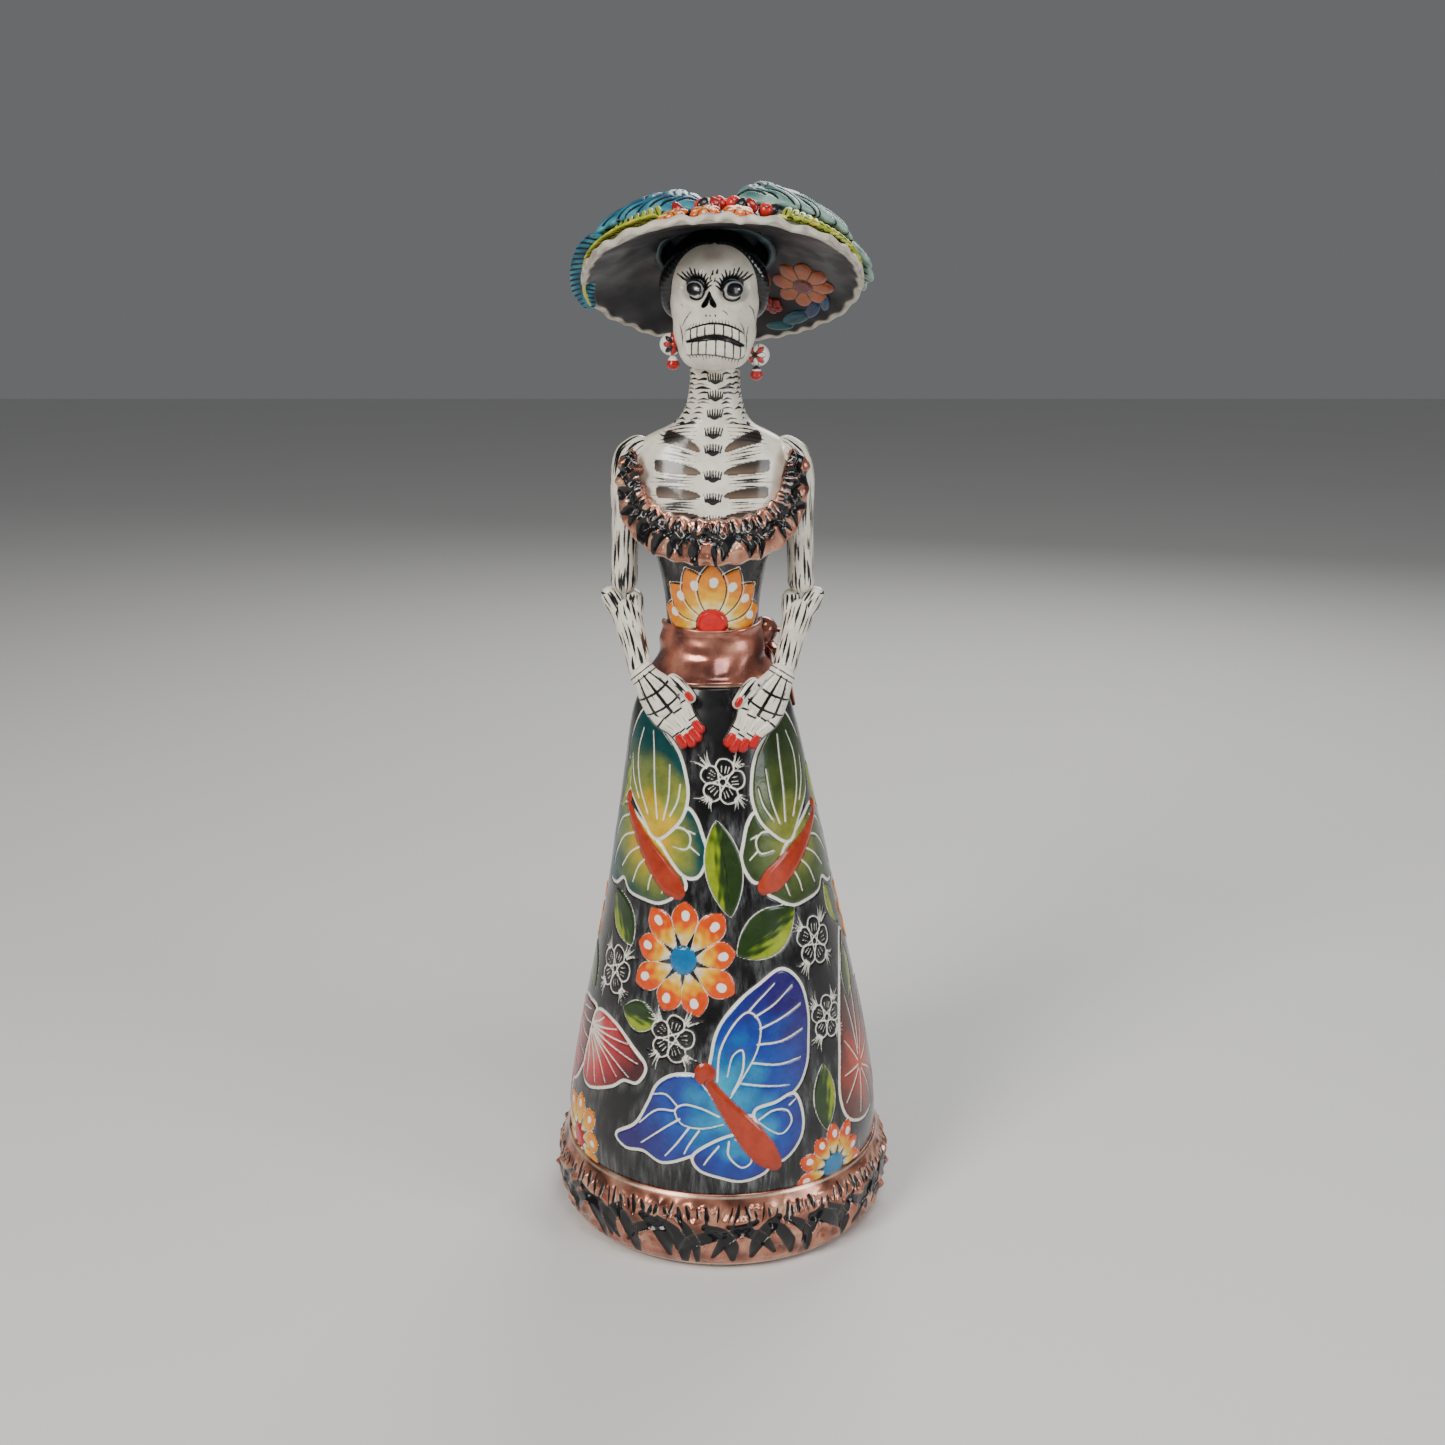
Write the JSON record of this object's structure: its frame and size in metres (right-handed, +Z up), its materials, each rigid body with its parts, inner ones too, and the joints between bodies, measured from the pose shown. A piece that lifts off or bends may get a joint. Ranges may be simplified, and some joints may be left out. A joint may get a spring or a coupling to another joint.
{
  "type": "catrina figurine",
  "caption": "Standing skeleton lady in a bell skirt and a wide feathered hat that lifts off, in glazed clay, for display.",
  "frame": {"origin": "middle of the foot rim, on the surface that the figure stands on", "axes": "+Z up, the figure faces -Y, +X is towards the figure's own left"},
  "size_m": [0.146, 0.146, 0.4231],
  "materials": {
    "glazed_skirt": "gloss clear glaze over black slip, carved and painted",
    "copper_ruffle": "metallic copper glaze with black carved grooves",
    "black_bodice": "gloss clear glaze over black slip",
    "copper_sash": "metallic copper glaze",
    "bone_glaze": "cream glaze with black brush lines",
    "black_hair": "gloss black glaze",
    "earring_white": "white glaze with black and red brush marks",
    "earring_red": "gloss red glaze",
    "hat_slate": "gloss dark slate glaze with a pale rim",
    "feather_blue": "gloss turquoise glaze with black strokes",
    "feather_green": "gloss pale green glaze with black strokes",
    "petal_orange": "gloss orange glaze with white dots",
    "bud_red": "gloss red glaze",
    "leaf_green": "gloss yellow-green glaze with dark strokes",
    "leaf_teal": "gloss teal glaze"
  },
  "bodies": {
    "figure": {"skirt_shell": "glazed_skirt", "hem_ruffle": "copper_ruffle", "bodice_shell": "black_bodice", "sash_band": "copper_sash", "sash_knot": "copper_sash", "sash_bow_loops": "copper_sash", "sash_tails": "copper_sash", "ribcage": "bone_glaze", "neck": "bone_glaze", "neckline_ruffle": "copper_ruffle", "upper_arm_right": "bone_glaze", "upper_arm_left": "bone_glaze", "forearm_right": "bone_glaze", "forearm_left": "bone_glaze", "hand_right": "bone_glaze", "hand_left": "bone_glaze", "thumb_right": "bone_glaze", "thumb_left": "bone_glaze", "skull": "bone_glaze", "hair": "black_hair", "earring_flower_right": "earring_white", "earring_flower_left": "earring_white", "earring_drop_right": "earring_red", "earring_drop_left": "earring_red"},
    "hat": {"hat_brim": "hat_slate", "hat_crown": "hat_slate", "feather_front_right": "feather_blue", "feather_front_left": "feather_green", "feather_side_right": "feather_blue", "feather_side_left": "feather_green", "feather_back_right": "feather_blue", "feather_back_left": "feather_green", "hat_flower_middle": "petal_orange", "hat_flower_right": "petal_orange", "hat_flower_left": "petal_orange", "rosebuds": "bud_red", "leaf_sprig_right": "leaf_green", "leaf_sprig_left": "leaf_green", "yellow_bud": "petal_orange", "brim_flower": "petal_orange", "brim_rosette": "bud_red", "brim_leaf": "leaf_teal"}
  },
  "joints": [
    {"name": "hat_lift", "type": "slide", "parent": "figure", "child": "hat", "axis": [0, 0.4067, 0.9136], "range_m": [0, 0.07]}
  ]
}
